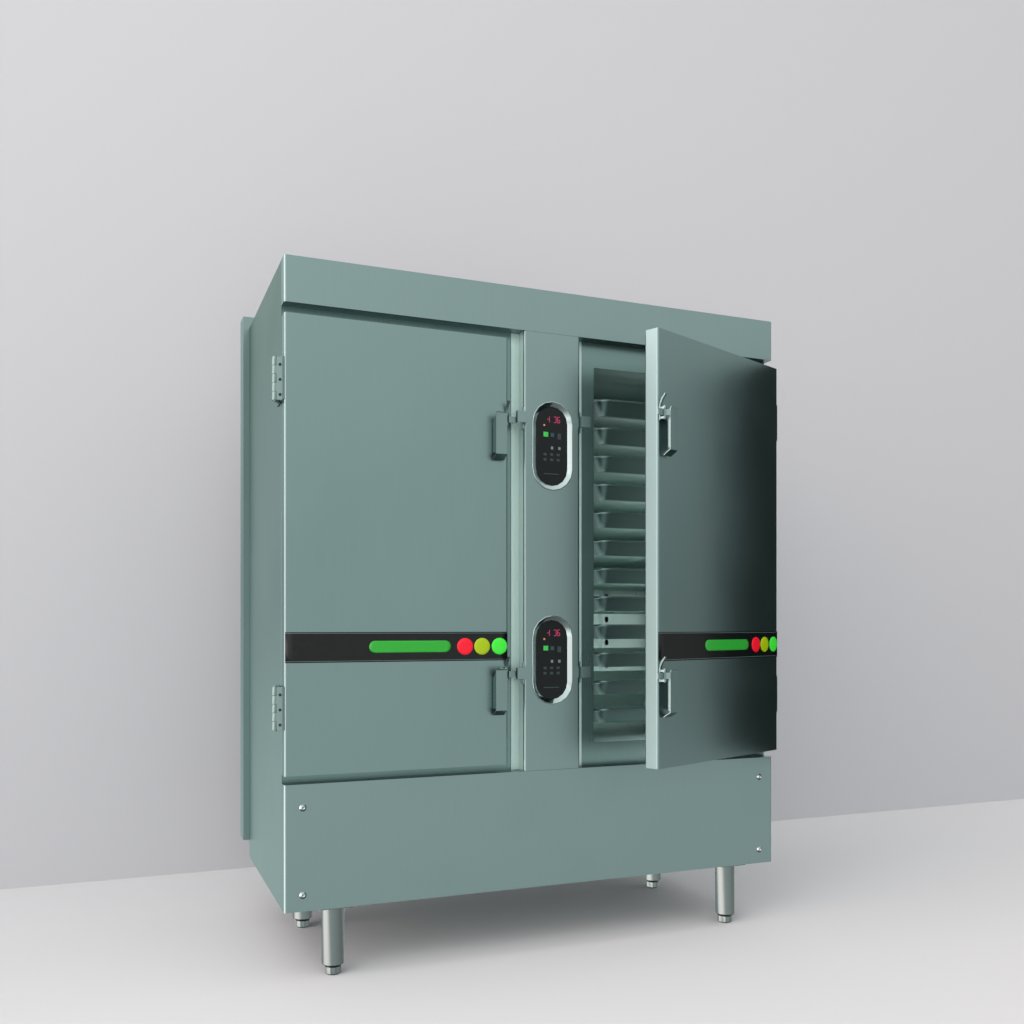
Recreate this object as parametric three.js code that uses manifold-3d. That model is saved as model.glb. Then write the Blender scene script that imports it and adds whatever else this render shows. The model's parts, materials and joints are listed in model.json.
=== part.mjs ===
// A commercial double-door steamer cabinet: two insulated chambers with their own doors, twelve
// pans in the right chamber, a centre column with two control panels, and a water tank below.
// Millimetres, +Z up, the front faces -Y. The right door stands ajar and the left door is shut.
import * as THREE from 'three';
import { mergeVertices } from 'three/addons/utils/BufferGeometryUtils.js';
import Module from 'manifold-3d';

// Cabinet body
const bodyWidth = 1250;
const bodyDepth = 560;
const legHeight = 155;
const lowerPanelHeight = 272;
const sillGap = 19;
const doorHeight = 985;
const headGap = 24;
const fasciaHeight = 100;
const cornerRadius = 6;

// Sheet, fits and cutting
const sheet = 1.5;
const linerSheet = 1.2;
const baseSheet = 2;
const fitGap = 0.3;
const cutOverrun = 5;
const foldLip = 14;

// Doors
const doorColumnGap = 43;
const doorThickness = 34;
const doorProud = 5;
const doorEdgeRadius = 5;
const doorLinerInset = 2;
const doorFieldInset = 44;
const doorFieldSlope = 12;
const doorFieldHeight = 9;
const doorFieldRadius = 30;
const rightDoorAngle = THREE.MathUtils.degToRad(22.8);

// Door gasket
const gasketStandout = 5.3;
const gasketWidth = 11;
const gasketCrownStart = 2;
const gasketCrownEnd = 6;
const gasketSkirt = 2.2;
const gasketCorner = 9;

// Chambers
const sideWall = 28;
const mouthFromCentre = 126;
const mouthSill = 55;
const mouthHead = 60;
const mouthRadius = 2;
const chamberDepth = 560;
const linerCentreGap = 1.5;

// Steam riser pressed into each back wall, and its upright oval outlets
const riserOffset = 84;
const riserWidth = 26;
const riserDepth = 14;
const riserSlope = 5;
const riserEndGap = 24;
const outletRadius = 6.5;
const outletReach = 3.5;
const outletOverRim = 16.5;

// Centre column and the keepers for the latches
const columnWidth = 144;
const columnFoot = 20;
const keepersFromDoorEnds = [210, 180];
const keeperSize = 26;
const keeperStandout = 12;
const keeperGauge = 3;
const keeperReach = 22;
const keeperHook = 5;
const keeperStrapHeight = 50;
const keeperStrapDepth = 14;
const keeperStrapStart = 3;

// Control panels
const controlsFromDoorEnds = [240, 241];
const bezelWidth = 104;
const bezelHeight = 210;
const bezelRing = 11.7;
const bezelLip = 4.3;
const bezelCrown = 2.2;
const bezelEdge = 1.3;
const bezelShoulder = 1.5;
const bezelSink = 4.5;
const glassThickness = 3;
const glassLedge = 3.3;
const ledgeGauge = 1.5;
const glassBevel = 0.8;

// Rear housing
const rearDepth = 65;
const rearOverhang = 16;
const rearRise = 28;
const rearLift = 46;

// Base frame, its rails and the connections at the back
const baseWallHeight = 30;
const baseRearHeight = 62;
const railWidth = 60;
const railHeight = 25;
const railReach = 450;
const nippleRadius = 11;
const nippleBore = 7;
const nippleLength = 28;
const nippleHeight = 24;
const nipplePlaces = [-420, -340];
const glandPlace = 420;
const glandNutRadius = 17;
const glandNutLength = 12;
const glandDomeRadius = 13;
const glandDomeLength = 24;
const glandBore = 8;

// Legs and levelling feet
const legFromSide = 114;
const frontLegDepth = 45;
const rearLegDepth = 415;
const legRadius = 25;
const legWall = 1.5;
const legFlange = 80;
const legFlangeGauge = 3;
const legFlangeCorner = 10;
const legChamfer = 3;
const legPlug = 12;
const footHeight = 20;
const footGap = 1;
const footRadius = 18.5;
const footSole = 15;
const footChamfer = 2.5;
const footFluteDepth = 1.2;
const footFlutes = 12;
const stemRadius = 8;
const stemClearance = 0.5;
const stemLength = 48;

// Pans
const panCount = 12;
const panTopRoom = 66;
const panFloorRoom = 78.1;
const panFrontRoom = 26;
const panSideRoom = 20.5;
const panDepth = 500;
const panHeight = 37;
const panGauge = 1.2;
const panRim = 12;
const panLip = 5;
const panTaper = 13;
const panFloorRound = 2.5;
const panCorner = 42;

// Pan racks
const rackGauge = 2;
const runnerGauge = 1.5;
const runnerDrop = 12;
const runnerUnderRim = 8;
const rackLength = 520;
const rackFrontRoom = 20;
const uprightWidth = 22;
const uprightInset = 36;
const uprightRise = 18;

// Hinges
const hingesFromDoorEnds = [144, 139];
const hingeLength = 92;
const hingeGauge = 3;
const hingePivotOut = 15.5;
const hingePivotBack = 16;
const hingeBarrelRadius = 7.3;
const hingePinRadius = 3;
const hingePinClearance = 0.5;
const hingePinHead = 2.5;
const hingeKnuckles = 5;
const hingeKnuckleGap = 0.5;
const hingeWebGap = 0.7;
const frameLeafGap = 4;
const frameLeafWidth = 38;
const doorLeafMargin = 2;
const doorLeafWidth = 29;
const hingeArmWidth = 11;
const hingeArmStartShare = 0.2;
const hingeArmBackShare = 0.7;
const hingeArmFrontShare = 0.9;

// Latches
const latchesFromDoorEnds = [209, 191];
const latchPinFromEdge = 8;
const latchPinProud = 12;
const latchPinRadius = 2.5;
const latchPinClearance = 0.5;
const latchPinHead = 1.1;
const latchPinCap = 2.5;
const latchBarrelRadius = 5.2;
const latchBarrelHeight = 16;
const latchEarGap = 0.5;
const latchEarGauge = 5;
const latchFootGauge = 3;
const latchFootWidth = 22;
const latchFootHeight = 36;
const latchFootCorner = 5;
const latchFootPastPin = 6;
const tongueReach = 24;
const tongueGauge = 5;
const tongueHeight = 14;
const tongueNose = 6;
const gripStandoff = 12;
const gripGauge = 2.5;
const gripWidth = 27;
const gripFromPin = 4;
const gripTop = 8;
const gripBottom = 81;
const gripCorner = 3;
const gripWallDepth = 22;
const gripWallTop = 5;
const gripWallSlope = 15;
const gripReturnDepth = 6;
const gripReturnTop = 5;
const gripToeDepth = 16.5;
const gripToeDrop = 13;
const gripFlare = 3;
const gripFlareHeight = 5;
const armWidth = 9;
const armRootShare = 0.8;
const hornHeight = 32;
const hornWidth = 6;
const hornGauge = 3;
const hornTipGauge = 2.1;
const hornCurl = 16;
const hornFrontShare = 0.6;
const hornBackShare = 0.4;

// Water tank under the chambers
const tankSideRoom = 105;
const tankFront = 150;
const tankDepth = 390;
const tankHeight = 150;
const steamPipeRadius = 21;
const steamPipeWall = 1.5;
const steamPipeFromRear = 40;
const steamPipeUpstand = 4;
const steamPipeClearance = 1;
const elementPortRadius = 40;

// Heating element
const elementFlangeRadius = 52;
const elementFlangeGauge = 8;
const elementTubeRadius = 5;
const elementTubeSpread = 18;
const elementTubeRise = 22;
const elementLength = 300;
const elementHairpins = 3;
const terminalRadius = 3;
const terminalLength = 16;

// Facet counts
const arcSteps = 3;
const tubeSides = 12;
const smallTubeSides = 8;
const nutSides = 6;
const elementSides = 6;
const bendSteps = 6;
const capsuleSteps = 8;

// Places that follow from the sizes above
const halfWidth = bodyWidth / 2;
const doorWidth = halfWidth - columnWidth / 2 - doorColumnGap;
const bodyHeight = lowerPanelHeight + sillGap + doorHeight + headGap + fasciaHeight;
const framePlane = doorThickness - doorProud + gasketStandout + fitGap;
const coverDepth = framePlane - fitGap;
const floorOfBody = legHeight;
const topOfBody = legHeight + bodyHeight;
const panelTop = floorOfBody + lowerPanelHeight;
const fasciaFoot = topOfBody - fasciaHeight;
const doorFoot = panelTop + sillGap;
const doorTop = doorFoot + doorHeight;
const [keeperHeights, controlHeights, hingeHeights, latchHeights] = [
  keepersFromDoorEnds, controlsFromDoorEnds, hingesFromDoorEnds, latchesFromDoorEnds,
].map(([fromFoot, fromTop]) => [doorFoot + fromFoot, doorTop - fromTop]);
const mouthFoot = panelTop + mouthSill;
const mouthTop = fasciaFoot - mouthHead;
const mouthOuter = halfWidth - sideWall;
const chamberCentre = (mouthFromCentre + mouthOuter) / 2;
const chamberWidth = mouthOuter - mouthFromCentre;
const panPitch = (mouthTop - mouthFoot - panTopRoom - panFloorRoom) / (panCount - 1);
const panWidth = chamberWidth - 2 * panSideRoom;
const chamberBack = framePlane + chamberDepth;
const riserPlace = chamberCentre + riserOffset;
const tankWidth = bodyWidth - 2 * tankSideRoom;
const tankFoot = floorOfBody + baseSheet + railHeight + fitGap;
const steamPipeY = tankFront + tankDepth - steamPipeFromRear;

// Finishes
const satinSteel = { color: 0x7d9794, roughness: 0.38, metalness: 0.85 };
const linerSteel = { color: 0x5d7876, roughness: 0.32, metalness: 0.9 };
const panSteel = { color: 0x6a8582, roughness: 0.25, metalness: 0.9 };
const chromeSteel = { color: 0xb9c6c4, roughness: 0.2, metalness: 1 };
const castSteel = { color: 0x98aaa7, roughness: 0.3, metalness: 0.9 };
const blackGlass = { color: 0x10191b, roughness: 0.12, metalness: 0 };
const greyRubber = { color: 0x3c4443, roughness: 0.75, metalness: 0 };
const darkAlloy = { color: 0x4a4d4c, roughness: 0.5, metalness: 0.7 };

const wasm = await Module();
wasm.setup();

// A closed geometry as a solid that can be joined and cut
function toSolid(geometry) {
  const bare = geometry.clone();
  bare.deleteAttribute('normal');
  bare.deleteAttribute('uv');
  const merged = mergeVertices(bare);
  const mesh = new wasm.Mesh({
    numProp: 3,
    vertProperties: Float32Array.from(merged.attributes.position.array),
    triVerts: Uint32Array.from(merged.index.array),
  });
  return new wasm.Manifold(mesh);
}

// A finished solid back as a geometry for a mesh, with the split flat faces made whole again
function toGeometry(solid) {
  const { vertProperties, triVerts } = solid.asOriginal().simplify().getMesh();
  const geometry = new THREE.BufferGeometry();
  geometry.setAttribute('position', new THREE.BufferAttribute(vertProperties, 3));
  geometry.setIndex(new THREE.BufferAttribute(triVerts, 1));
  geometry.computeVertexNormals();
  return geometry;
}

// A block between two opposite corners
function block(x0, x1, y0, y1, z0, z1) {
  const geometry = new THREE.BoxGeometry(x1 - x0, y1 - y0, z1 - z0);
  geometry.translate((x0 + x1) / 2, (y0 + y1) / 2, (z0 + z1) / 2);
  return toSolid(geometry);
}

// An extruded outline whose own axes are laid along the three given directions
function extruded(shape, length, right, up, along, curveSegments = arcSteps) {
  const geometry = new THREE.ExtrudeGeometry(shape, { depth: length, bevelEnabled: false, curveSegments });
  geometry.applyMatrix4(new THREE.Matrix4().makeBasis(right, up, along));
  return geometry;
}

const axisX = new THREE.Vector3(1, 0, 0);
const axisY = new THREE.Vector3(0, 1, 0);
const axisZ = new THREE.Vector3(0, 0, 1);
const towardFront = new THREE.Vector3(0, -1, 0);

// A plan outline (x, y) raised from z0 to z1
function raised(shape, z0, z1) {
  return toSolid(extruded(shape, z1 - z0, axisX, axisY, axisZ).translate(0, 0, z0));
}

// A front outline (x, z) carried back from y0 to y1
function carriedBack(shape, y0, y1) {
  return toSolid(extruded(shape, y1 - y0, axisX, axisZ, towardFront).translate(0, y1, 0));
}

// A side outline (y, z) carried across from x0 to x1
function carriedAcross(shape, x0, x1) {
  return toSolid(extruded(shape, x1 - x0, axisY, axisZ, axisX).translate(x0, 0, 0));
}

// A straight-sided outline through the given points
function outline(points) {
  return new THREE.Shape(points.map(([x, y]) => new THREE.Vector2(x, y)));
}

function roundedRectangle(x0, x1, y0, y1, radius) {
  const shape = new THREE.Shape();
  shape.moveTo(x0 + radius, y0);
  shape.lineTo(x1 - radius, y0);
  shape.absarc(x1 - radius, y0 + radius, radius, -Math.PI / 2, 0);
  shape.lineTo(x1, y1 - radius);
  shape.absarc(x1 - radius, y1 - radius, radius, 0, Math.PI / 2);
  shape.lineTo(x0 + radius, y1);
  shape.absarc(x0 + radius, y1 - radius, radius, Math.PI / 2, Math.PI);
  shape.lineTo(x0, y0 + radius);
  shape.absarc(x0 + radius, y0 + radius, radius, Math.PI, Math.PI * 1.5);
  return shape;
}

function circle(x, y, radius) {
  const shape = new THREE.Shape();
  shape.absarc(x, y, radius, 0, Math.PI * 2);
  return shape;
}

// A rod along z, y or x between two places
function rodUp(x, y, radius, z0, z1, sides = smallTubeSides) {
  const geometry = new THREE.CylinderGeometry(radius, radius, z1 - z0, sides);
  geometry.rotateX(Math.PI / 2).translate(x, y, (z0 + z1) / 2);
  return toSolid(geometry);
}

function rodBack(x, z, radius, y0, y1, sides = smallTubeSides) {
  const geometry = new THREE.CylinderGeometry(radius, radius, y1 - y0, sides);
  geometry.translate(x, (y0 + y1) / 2, z);
  return toSolid(geometry);
}

// A turned piece standing on z, from a profile of [radius, height] points
function turned(profile, sides = tubeSides) {
  const points = profile.map(([radius, height]) => new THREE.Vector2(radius, height));
  const geometry = new THREE.LatheGeometry(points, sides);
  geometry.rotateX(Math.PI / 2);
  return toSolid(geometry);
}

// Joins equal loops of points into one closed skin: a ring joins its last loop to its first,
// and any other run is closed by a flat cap at each end
function skin(loops, ring) {
  const count = loops[0].length;
  const index = [];
  const rows = ring ? loops.length : loops.length - 1;
  for (let row = 0; row < rows; row++) {
    const next = (row + 1) % loops.length;
    for (let point = 0; point < count; point++) {
      const beside = (point + 1) % count;
      const a = row * count + point;
      const b = row * count + beside;
      const c = next * count + beside;
      const d = next * count + point;
      index.push(a, b, c, a, c, d);
    }
  }
  if (!ring) {
    const last = (loops.length - 1) * count;
    for (let point = 1; point < count - 1; point++) {
      index.push(0, point + 1, point);
      index.push(last, last + point, last + point + 1);
    }
  }
  const geometry = new THREE.BufferGeometry();
  geometry.setAttribute('position', new THREE.Float32BufferAttribute(loops.flat(2), 3));
  geometry.setIndex(index);
  geometry.computeVertexNormals();
  return geometry;
}

// The points of a rounded rectangle about its centre, anticlockwise
function roundedLoop(halfAcross, halfUp, radius) {
  const points = [];
  const corners = [[1, 1], [-1, 1], [-1, -1], [1, -1]];
  corners.forEach(([across, up], quarter) => {
    for (let step = 0; step < arcSteps; step++) {
      const angle = (quarter + step / (arcSteps - 1)) * Math.PI / 2;
      const x = across * (halfAcross - radius) + radius * Math.cos(angle);
      const y = up * (halfUp - radius) + radius * Math.sin(angle);
      points.push([x, y]);
    }
  });
  return points;
}

// The points of an upright capsule about its centre, anticlockwise
function capsuleLoop(radius, reach, steps = capsuleSteps) {
  const points = [];
  for (const end of [1, -1]) {
    for (let step = 0; step <= steps; step++) {
      const angle = step / steps * Math.PI;
      points.push([end * radius * Math.cos(angle), end * (reach + radius * Math.sin(angle))]);
    }
  }
  return points;
}

// A sheet folded into a cover that is open at the back: its face is at y = 0, its walls run
// back to the depth, and a lip turns in from each wall. It stands on z = 0 about x = 0.
function foldedCover(width, height, depth, radius, gauge, lip) {
  const half = width / 2;
  const inner = half - gauge;
  const bend = radius - gauge;
  const frontage = (reach, corner, front, back) => {
    const shape = new THREE.Shape();
    shape.moveTo(-reach, back);
    shape.lineTo(-reach, front + corner);
    shape.absarc(-reach + corner, front + corner, corner, Math.PI, Math.PI * 1.5);
    shape.lineTo(reach - corner, front);
    shape.absarc(reach - corner, front + corner, corner, -Math.PI / 2, 0);
    shape.lineTo(reach, back);
    return shape;
  };
  const whole = raised(frontage(half, radius, 0, depth), 0, height);
  const hollow = raised(frontage(inner, bend, gauge, depth - gauge), gauge, height - gauge);
  const mouth = block(-half + lip, half - lip, depth / 2, depth + cutOverrun, lip, height - lip);
  return whole.subtract(hollow).subtract(mouth);
}

const cabinet = new THREE.Group();

function addPiece(parent, name, geometry, finish) {
  const piece = new THREE.Mesh(geometry, new THREE.MeshStandardMaterial(finish));
  piece.name = name;
  parent.add(piece);
  return piece;
}

// Bottom tray of the body, with a rail over each pair of legs, two water nipples and the cable gland
function baseFrame() {
  const side = halfWidth - sheet - fitGap;
  const back = bodyDepth;
  const foot = floorOfBody;
  const sideTop = foot + baseWallHeight;
  let tray = block(-side, side, framePlane, back, foot, foot + baseSheet)
    .add(block(-side, side, framePlane, framePlane + baseSheet, foot, sideTop))
    .add(block(-side, -side + baseSheet, framePlane, back, foot, sideTop))
    .add(block(side - baseSheet, side, framePlane, back, foot, sideTop))
    .add(block(-side, side, back - baseSheet, back, foot, foot + baseRearHeight));
  for (const end of [-1, 1]) {
    const centre = end * (halfWidth - legFromSide);
    const left = centre - railWidth / 2;
    const right = centre + railWidth / 2;
    const railTop = foot + baseSheet + railHeight;
    const rail = block(left, right, framePlane + baseSheet / 2, framePlane + railReach, foot, railTop)
      .subtract(block(left + baseSheet, right - baseSheet, framePlane - cutOverrun,
        framePlane + railReach + cutOverrun, foot + baseSheet, railTop - baseSheet));
    tray = tray.add(rail);
  }
  const portHeight = foot + nippleHeight;
  for (const place of nipplePlaces) {
    tray = tray.add(rodBack(place, portHeight, nippleRadius, back - baseSheet, back + nippleLength, tubeSides));
    tray = tray.subtract(rodBack(place, portHeight, nippleBore, back - cutOverrun,
      back + nippleLength + cutOverrun, smallTubeSides));
  }
  const nut = rodBack(glandPlace, portHeight, glandNutRadius, back - baseSheet, back + glandNutLength, nutSides);
  const dome = rodBack(glandPlace, portHeight, glandDomeRadius, back, back + glandDomeLength, tubeSides);
  const bore = rodBack(glandPlace, portHeight, glandBore, back - cutOverrun,
    back + glandDomeLength + cutOverrun, smallTubeSides);
  return toGeometry(tray.add(nut).add(dome).subtract(bore));
}

// Outer wrap: both sides and the top in one folded sheet, turned in all round at the back, with a
// return down each side behind the chamber flange
function outerWrap() {
  const flangeBack = framePlane + linerSheet + fitGap;
  const returnFoot = floorOfBody + baseWallHeight + foldLip;
  const rearFoot = floorOfBody + baseRearHeight + fitGap;
  const side = block(halfWidth - sheet, halfWidth, framePlane, bodyDepth, floorOfBody, topOfBody)
    .add(block(halfWidth - foldLip, halfWidth, flangeBack, flangeBack + sheet, returnFoot, topOfBody))
    .add(block(halfWidth - foldLip, halfWidth, bodyDepth - sheet, bodyDepth, rearFoot, topOfBody));
  const top = block(-halfWidth, halfWidth, framePlane, bodyDepth, topOfBody - sheet, topOfBody)
    .add(block(-halfWidth, halfWidth, bodyDepth - sheet, bodyDepth, topOfBody - foldLip, topOfBody));
  return toGeometry(top.add(side).add(side.mirror([1, 0, 0])));
}

// Keeper for one latch, at a height on the right-hand edge of the column
function keeper(z) {
  const side = columnWidth / 2;
  const half = keeperSize / 2;
  const strap = block(side - sheet, side + keeperGauge, keeperStrapStart, keeperStrapStart + keeperStrapDepth,
    z - keeperStrapHeight / 2, z + keeperStrapHeight / 2);
  const web = block(side - sheet, side + keeperGauge, -keeperStandout, keeperStrapStart + keeperStrapDepth,
    z - half, z + half);
  const plate = block(side - sheet, side + keeperReach, -keeperStandout, -keeperStandout + keeperGauge,
    z - half, z + half);
  const hook = block(side + keeperReach - keeperGauge, side + keeperReach, -keeperStandout,
    -keeperStandout + keeperGauge + keeperHook, z - half, z + half);
  return strap.add(web).add(plate).add(hook);
}

// Column cover: a hat section whose feet lie on the chamber flanges, with two capsule windows
function centreColumn() {
  const side = columnWidth / 2;
  const foot = side + columnFoot;
  const bend = cornerRadius - sheet;
  const hat = new THREE.Shape();
  hat.moveTo(-foot, coverDepth);
  hat.lineTo(-foot, coverDepth - sheet);
  hat.lineTo(-side, coverDepth - sheet);
  hat.lineTo(-side, cornerRadius);
  hat.absarc(-side + cornerRadius, cornerRadius, cornerRadius, Math.PI, Math.PI * 1.5);
  hat.lineTo(side - cornerRadius, 0);
  hat.absarc(side - cornerRadius, cornerRadius, cornerRadius, -Math.PI / 2, 0);
  hat.lineTo(side, coverDepth - sheet);
  hat.lineTo(foot, coverDepth - sheet);
  hat.lineTo(foot, coverDepth);
  hat.lineTo(side - sheet, coverDepth);
  hat.lineTo(side - sheet, cornerRadius);
  hat.absarc(side - cornerRadius, cornerRadius, bend, 0, -Math.PI / 2, true);
  hat.lineTo(-side + cornerRadius, sheet);
  hat.absarc(-side + cornerRadius, cornerRadius, bend, -Math.PI / 2, -Math.PI, true);
  hat.lineTo(-side + sheet, coverDepth);
  let column = raised(hat, panelTop + fitGap, fasciaFoot - fitGap);
  for (const height of controlHeights) {
    const radius = bezelWidth / 2 - bezelLip + fitGap;
    const reach = bezelHeight / 2 - bezelWidth / 2;
    const window = outline(capsuleLoop(radius, reach));
    const cut = carriedBack(window, -cutOverrun, sheet + cutOverrun).translate([0, 0, height]);
    column = column.subtract(cut);
  }
  for (const height of keeperHeights) {
    const right = keeper(height);
    column = column.add(right).add(right.mirror([1, 0, 0]));
  }
  return toGeometry(column);
}

// Chamber liner: an open box behind a flange that the door seals on, with a pressed steam riser
// in its back wall and the hole for the steam pipe in its floor. Built for the right chamber.
function chamberLiner() {
  const inner = roundedRectangle(mouthFromCentre, mouthOuter, mouthFoot, mouthTop, mouthRadius);
  const outer = roundedRectangle(mouthFromCentre - linerSheet, mouthOuter + linerSheet,
    mouthFoot - linerSheet, mouthTop + linerSheet, mouthRadius + linerSheet);
  const flange = block(linerCentreGap / 2, halfWidth - sheet - fitGap, framePlane, framePlane + linerSheet,
    panelTop - foldLip, fasciaFoot + foldLip);
  const riserFoot = mouthFoot + riserEndGap;
  const riserTop = mouthTop - riserEndGap;
  const half = riserWidth / 2;
  const front = chamberBack - riserDepth;
  const channel = outline([
    [riserPlace - half - riserSlope, chamberBack + linerSheet],
    [riserPlace - half, front],
    [riserPlace + half, front],
    [riserPlace + half + riserSlope, chamberBack + linerSheet],
  ]);
  const channelHollow = outline([
    [riserPlace - half - riserSlope + linerSheet, chamberBack + linerSheet + cutOverrun],
    [riserPlace - half + linerSheet, front + linerSheet],
    [riserPlace + half - linerSheet, front + linerSheet],
    [riserPlace + half + riserSlope - linerSheet, chamberBack + linerSheet + cutOverrun],
  ]);
  let liner = carriedBack(outer, framePlane, chamberBack + linerSheet)
    .add(flange)
    .subtract(carriedBack(inner, framePlane - cutOverrun, chamberBack))
    .add(raised(channel, riserFoot, riserTop))
    .subtract(raised(channelHollow, riserFoot + linerSheet, riserTop - linerSheet));
  const outlet = carriedBack(outline(capsuleLoop(outletRadius, outletReach, arcSteps)), front - cutOverrun,
    front + cutOverrun);
  for (let level = 0; level < panCount; level++) {
    liner = liner.subtract(outlet.translate([riserPlace, 0, rimHeight(level) + outletOverRim]));
  }
  const pipeHole = steamPipeRadius + steamPipeClearance;
  const hole = rodUp(riserPlace, steamPipeY, pipeHole, mouthFoot - cutOverrun, mouthFoot + cutOverrun, tubeSides);
  return toGeometry(liner.subtract(hole));
}

// Housing across the whole back, wider and higher than the body, closed at the rear
function rearHousing() {
  const width = bodyWidth + 2 * rearOverhang;
  const height = bodyHeight + rearRise - rearLift;
  const lip = rearOverhang + foldLip;
  const cover = foldedCover(width, height, rearDepth - fitGap, cornerRadius, sheet, foldLip);
  const opening = block(-width / 2 + lip, width / 2 - lip, rearDepth / 2, rearDepth + cutOverrun,
    foldLip, height - rearRise - foldLip);
  const sideLips = block(-width / 2 + sheet, width / 2 - sheet, rearDepth - fitGap - sheet,
    rearDepth - fitGap, sheet, height - sheet);
  return toGeometry(cover.add(sideLips).subtract(opening));
}

// Leg: a tube under a square flange, chamfered at its lower end round a plug for the foot's stem
function leg() {
  const plugFoot = footHeight + footGap;
  const top = legHeight - fitGap;
  const bore = legRadius - legWall;
  const stemBore = stemRadius + stemClearance;
  const tube = turned([
    [stemBore, plugFoot],
    [legRadius - legChamfer, plugFoot],
    [legRadius, plugFoot + legChamfer],
    [legRadius, top],
    [bore, top],
    [bore, plugFoot + legPlug],
    [stemBore, plugFoot + legPlug],
    [stemBore, plugFoot],
  ]);
  const half = legFlange / 2;
  const plate = raised(roundedRectangle(-half, half, -half, half, legFlangeCorner), top - legFlangeGauge, top)
    .subtract(rodUp(0, 0, bore, top - legFlangeGauge - cutOverrun, top + cutOverrun, tubeSides));
  return toGeometry(tube.add(plate));
}

// Levelling foot: a fluted knob with a flat sole, on a stem that runs up into the leg's plug
function levellingFoot() {
  const rim = [];
  for (let flute = 0; flute < footFlutes * 2; flute++) {
    const angle = flute / footFlutes * Math.PI;
    const radius = flute % 2 ? footRadius - footFluteDepth : footRadius;
    rim.push([radius * Math.cos(angle), radius * Math.sin(angle)]);
  }
  const waist = footRadius - footChamfer;
  const knob = raised(outline(rim), footChamfer, footHeight - footChamfer);
  const core = turned([
    [0, 0],
    [footSole, 0],
    [waist, footChamfer],
    [waist, footHeight - footChamfer],
    [footSole, footHeight],
    [stemRadius, footHeight],
    [stemRadius, footHeight + stemLength],
    [0, footHeight + stemLength],
  ]);
  return toGeometry(core.add(knob));
}

// Pan: pressed from one sheet, with leaning walls, round corners and a rim turned down at its edge.
// It stands on z = 0 with its front edge at y = 0.
function pan() {
  const top = panHeight;
  const wall = panRim + panTaper;
  const stations = [
    [wall + panFloorRound, 0],
    [wall, panFloorRound],
    [panRim, top - panGauge],
    [panGauge, top - panGauge],
    [panGauge, top - panLip],
    [0, top - panLip],
    [0, top],
    [panRim + panGauge, top],
    [wall + panGauge, panFloorRound + panGauge],
    [wall + panFloorRound + panGauge, panGauge],
  ];
  const loops = stations.map(([inset, height]) => (
    roundedLoop(panWidth / 2 - inset, panDepth / 2 - inset, panCorner - inset)
      .map(([x, y]) => [x, y + panDepth / 2, height])
  ));
  return skin(loops, false);
}

// Height of the rim of one pan, counted from the top
function rimHeight(level) {
  return mouthTop - panTopRoom - level * panPitch;
}

// One side of a pan rack: two flat uprights against the chamber wall, joined by a ladder of angle
// runners. Built for the side at +x, about the middle of a chamber.
function rackSide() {
  const wall = chamberWidth / 2 - fitGap;
  const front = framePlane + rackFrontRoom;
  const back = front + rackLength;
  const shelf = panWidth / 2 - runnerUnderRim;
  const seam = wall - rackGauge;
  let side = null;
  for (let level = 0; level < panCount; level++) {
    const seat = rimHeight(level) - panLip - fitGap;
    const runner = carriedBack(outline([
      [shelf, seat - runnerGauge],
      [seam - runnerGauge, seat - runnerGauge],
      [seam - runnerGauge, seat - runnerDrop],
      [seam, seat - runnerDrop],
      [seam, seat],
      [shelf, seat],
    ]), front, back);
    side = side ? side.add(runner) : runner;
  }
  for (const place of [front + uprightInset, back - uprightInset]) {
    side = side.add(block(wall - rackGauge, wall, place - uprightWidth / 2, place + uprightWidth / 2,
      mouthFoot + mouthRadius, rimHeight(0) + uprightRise));
  }
  return toGeometry(side);
}

// Water tank: a closed box on the rails with a port for the heating element and a steam pipe
// that rises through the floor of each chamber
function waterTank() {
  const half = tankWidth / 2;
  const back = tankFront + tankDepth;
  const top = tankFoot + tankHeight;
  let tank = block(-half, half, tankFront, back, tankFoot, top);
  for (const end of [-1, 1]) {
    tank = tank.add(rodUp(end * riserPlace, steamPipeY, steamPipeRadius, top - sheet,
      mouthFoot + steamPipeUpstand, tubeSides));
  }
  tank = tank.subtract(block(-half + sheet, half - sheet, tankFront + sheet, back - sheet,
    tankFoot + sheet, top - sheet));
  for (const end of [-1, 1]) {
    tank = tank.subtract(rodUp(end * riserPlace, steamPipeY, steamPipeRadius - steamPipeWall,
      top - sheet - cutOverrun, mouthFoot + steamPipeUpstand + cutOverrun, tubeSides));
  }
  return toGeometry(tank.subtract(rodBack(0, tankFoot + tankHeight / 2, elementPortRadius,
    tankFront - cutOverrun, tankFront + cutOverrun, tubeSides)));
}

// Heating element: hairpin tubes on a round flange bolted over the port in the tank's front
function heatingElement() {
  const z = tankFoot + tankHeight / 2;
  const face = tankFront - fitGap;
  const bend = tankFront + elementLength;
  let element = rodBack(0, z, elementFlangeRadius, face - elementFlangeGauge, face, tubeSides);
  for (let hairpin = 0; hairpin < elementHairpins; hairpin++) {
    const height = z + (hairpin - (elementHairpins - 1) / 2) * elementTubeRise;
    for (const side of [-1, 1]) {
      const x = side * elementTubeSpread;
      element = element
        .add(rodBack(x, height, elementTubeRadius, face - elementFlangeGauge / 2, bend, elementSides))
        .add(rodBack(x, height, terminalRadius, face - elementFlangeGauge - terminalLength, face, elementSides));
    }
    const along = [];
    for (let step = 0; step <= bendSteps; step++) {
      const angle = step / bendSteps * Math.PI;
      along.push(new THREE.Vector3(elementTubeSpread * Math.cos(angle), bend + elementTubeSpread * Math.sin(angle),
        height));
    }
    const geometry = new THREE.ExtrudeGeometry(circle(0, 0, elementTubeRadius), {
      extrudePath: new THREE.CatmullRomCurve3(along), steps: bendSteps, curveSegments: elementSides / 2,
    });
    element = element.add(toSolid(geometry));
  }
  return toGeometry(element);
}

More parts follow.
